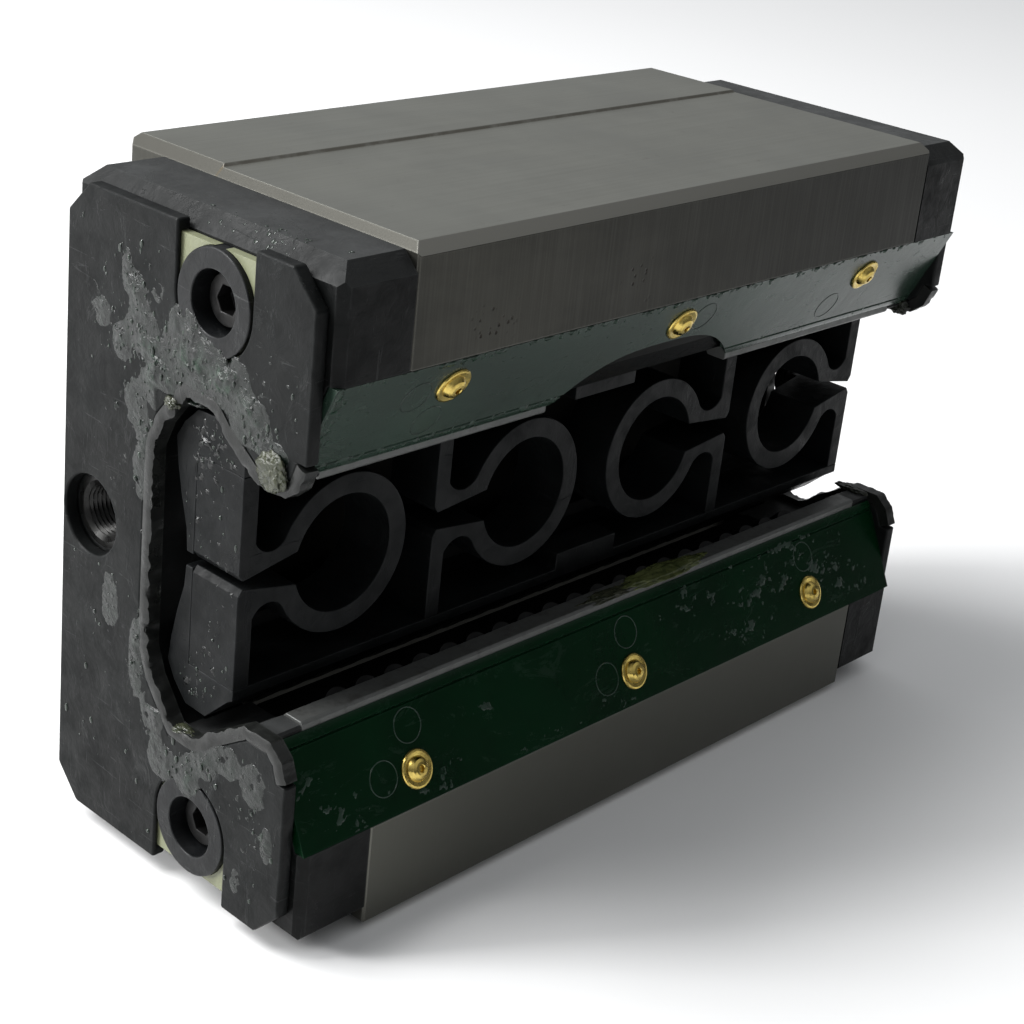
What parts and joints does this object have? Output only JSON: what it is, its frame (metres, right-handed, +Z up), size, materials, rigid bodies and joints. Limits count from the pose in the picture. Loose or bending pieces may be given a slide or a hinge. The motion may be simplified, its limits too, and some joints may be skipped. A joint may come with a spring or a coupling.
{
  "type": "linear guide carriage",
  "caption": "Narrow profiled-rail roller guide carriage with end seals and retaining strips, supplied on a slide-out plastic dummy rail with spring ribs.",
  "frame": {"origin": "centre of the bounding box at the bottom: the middle of the lower flank the carriage lies on", "axes": "X along the rail travel, +Y out of the mounting face (the rail opening faces -Y), +Z up across the width"},
  "size_m": [0.101, 0.0414, 0.07],
  "materials": {
    "ground_steel": "ground, matt, lightly stained",
    "strip_steel": "satin rolled strip",
    "rivet_brass": "bright turned",
    "green_strip": "dark green, semi-gloss",
    "cream_plate": "cream, matt",
    "seal_rubber": "black, greasy",
    "head_plastic": "black, scuffed",
    "plate_plastic": "black, scuffed and greasy",
    "bush_plastic": "black, semi-matt",
    "black_screw": "black oxide steel",
    "roller_steel": "polished hardened steel",
    "inner_plastic": "black moulded",
    "insert_steel": "dull plated steel",
    "dummy_plastic": "black moulded, oily"
  },
  "bodies": {
    "carriage": {"backing_plate_left": "cream_plate", "backing_plate_right": "cream_plate", "end_plate_left": "plate_plastic", "end_plate_right": "plate_plastic", "end_screws_left": "black_screw", "end_screws_right": "black_screw", "guide_strip_lower": "strip_steel", "guide_strip_upper": "strip_steel", "head_left": "head_plastic", "head_right": "head_plastic", "loaded_rollers_lower_back": "roller_steel", "loaded_rollers_lower_front": "roller_steel", "loaded_rollers_upper_back": "roller_steel", "loaded_rollers_upper_front": "roller_steel", "lube_insert_left": "insert_steel", "lube_insert_right": "insert_steel", "lube_plug_right": "black_screw", "retainer_strip_lower": "green_strip", "retainer_strip_upper": "green_strip", "return_rollers_lower_back": "roller_steel", "return_rollers_lower_front": "roller_steel", "return_rollers_upper_back": "roller_steel", "return_rollers_upper_front": "roller_steel", "return_tube_lower_back": "inner_plastic", "return_tube_lower_front": "inner_plastic", "return_tube_upper_back": "inner_plastic", "return_tube_upper_front": "inner_plastic", "roller_retainer_lower": "inner_plastic", "roller_retainer_upper": "inner_plastic", "saddle_body": "ground_steel", "screw_bushes_left": "bush_plastic", "screw_bushes_right": "bush_plastic", "strip_rivets_lower": "rivet_brass", "strip_rivets_upper": "rivet_brass", "turn_guides_lower_left": "inner_plastic", "turn_guides_lower_right": "inner_plastic", "turn_guides_upper_left": "inner_plastic", "turn_guides_upper_right": "inner_plastic", "wiper_left": "seal_rubber", "wiper_right": "seal_rubber"},
    "dummy_rail": {"dummy_side_lower": "dummy_plastic", "dummy_side_upper": "dummy_plastic", "dummy_spring_1": "dummy_plastic", "dummy_spring_2": "dummy_plastic", "dummy_spring_3": "dummy_plastic", "dummy_spring_4": "dummy_plastic"}
  },
  "joints": [
    {"name": "dummy_rail_slide", "type": "slide", "parent": "carriage", "child": "dummy_rail", "axis": [1, 0, 0], "range_m": [-0.099, 0.097]}
  ]
}
